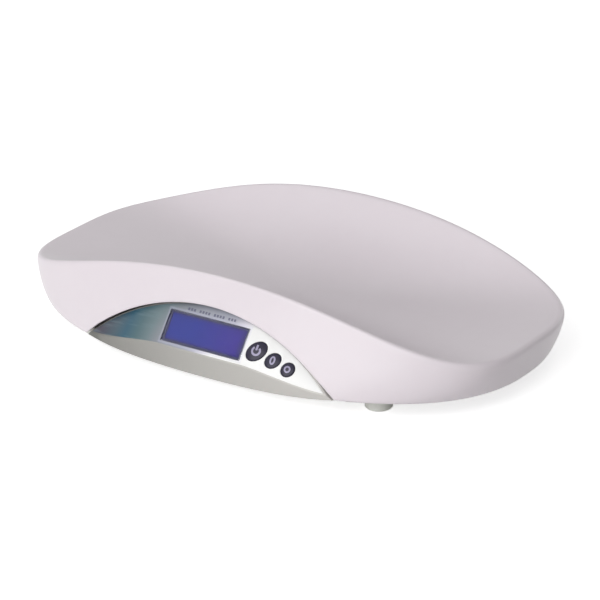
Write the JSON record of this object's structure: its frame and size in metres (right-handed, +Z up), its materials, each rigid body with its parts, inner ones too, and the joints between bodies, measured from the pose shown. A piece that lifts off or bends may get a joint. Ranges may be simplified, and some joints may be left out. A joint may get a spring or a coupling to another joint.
{
  "type": "digital baby weighing scale",
  "caption": "Low digital baby scale: a long dished white tray with a full skirt floats on a load cell over a base, with a leaning front console, blue display and oval push buttons.",
  "frame": {"origin": "middle of the footprint on the ground, under the tray's centre", "axes": "+X along the tray's length to the user's right, +Y from the console at the front to the rear, +Z up"},
  "size_m": [0.5596, 0.331, 0.1054],
  "materials": {
    "tray_white": "satin moulded plastic, warm white with a faint mauve cast",
    "standoff_plastic": "bare moulded plastic",
    "zinc_steel": "zinc-plated pressed steel",
    "dark_steel": "black-passivated steel",
    "housing_grey": "warm grey moulded plastic, fine spark texture",
    "cell_aluminium": "milled, clear anodised",
    "gauge_coat": "white sealing compound",
    "foot_rubber": "pale grey moulded rubber",
    "fascia_print": "back-printed sheet, white fading to teal grey on the left",
    "window_clear": "clear, faintly blue",
    "lcd_blue": "blue negative display",
    "backlight_white": "diffusing white",
    "board_green": "green solder mask",
    "part_black": "black moulding",
    "socket_cream": "cream nylon",
    "button_dark": "navy black, polished",
    "battery_jacket": "dark printed jacket, bare ends",
    "cable_grey": "dark grey jacket",
    "ribbon_white": "white flat cable",
    "lead_red": "red insulation",
    "lead_black": "black insulation"
  },
  "bodies": {
    "base": {"base_pan": "housing_grey", "chassis_plate": "zinc_steel", "cell_spacer_lower": "zinc_steel", "load_cell": "cell_aluminium", "gauge_cover": "gauge_coat", "cell_bolts_lower": "dark_steel", "overload_stops": "dark_steel", "stop_nuts": "zinc_steel", "foot_front_left": "foot_rubber", "foot_front_right": "foot_rubber", "foot_rear_left": "foot_rubber", "foot_rear_right": "foot_rubber", "foot_screws": "dark_steel", "foot_nuts": "zinc_steel", "console_housing": "housing_grey", "housing_screws": "dark_steel", "fascia_panel": "fascia_print", "display_window": "window_clear", "lcd_frame": "zinc_steel", "lcd_glass": "lcd_blue", "lcd_backlight": "backlight_white", "main_board": "board_green", "board_chips": "part_black", "board_sockets": "socket_cream", "buzzer": "part_black", "board_screws": "dark_steel", "key_board": "board_green", "key_switches": "part_black", "key_board_screws": "dark_steel", "battery_holder": "part_black", "battery_springs": "zinc_steel", "battery_plates": "zinc_steel", "battery_1": "battery_jacket", "battery_2": "battery_jacket", "battery_3": "battery_jacket", "battery_4": "battery_jacket", "load_cell_cable": "cable_grey", "key_cable": "ribbon_white", "battery_lead_red": "lead_red", "battery_lead_black": "lead_black", "cable_clips": "socket_cream"},
    "platform": {"tray_shell": "tray_white", "tray_standoffs": "standoff_plastic", "platform_frame": "zinc_steel", "cell_spacer_upper": "zinc_steel", "cell_bolts_upper": "dark_steel", "tray_screws": "dark_steel"},
    "button_power": {"button_power": "button_dark"},
    "button_tare": {"button_tare": "button_dark"},
    "button_unit": {"button_unit": "button_dark"},
    "battery_door": {"battery_door": "housing_grey"}
  },
  "joints": [
    {"name": "platform_sink", "type": "slide", "parent": "base", "child": "platform", "axis": [0, 0, -1], "range_m": [0, 0.0008], "stiffness_N_per_m": 200000, "deforming": ["load_cell"]},
    {"name": "button_power_press", "type": "slide", "parent": "base", "child": "button_power", "axis": [-0.1538, 0.7733, -0.6151], "range_m": [0, 0.0008], "stiffness_N_per_m": 1000},
    {"name": "button_tare_press", "type": "slide", "parent": "base", "child": "button_tare", "axis": [-0.1538, 0.7733, -0.6151], "range_m": [0, 0.0008], "stiffness_N_per_m": 1000},
    {"name": "button_unit_press", "type": "slide", "parent": "base", "child": "button_unit", "axis": [-0.1538, 0.7733, -0.6151], "range_m": [0, 0.0008], "stiffness_N_per_m": 1000},
    {"name": "battery_door_slide", "type": "slide", "parent": "base", "child": "battery_door", "axis": [0, 1, 0], "range_m": [0, 0.06]}
  ]
}
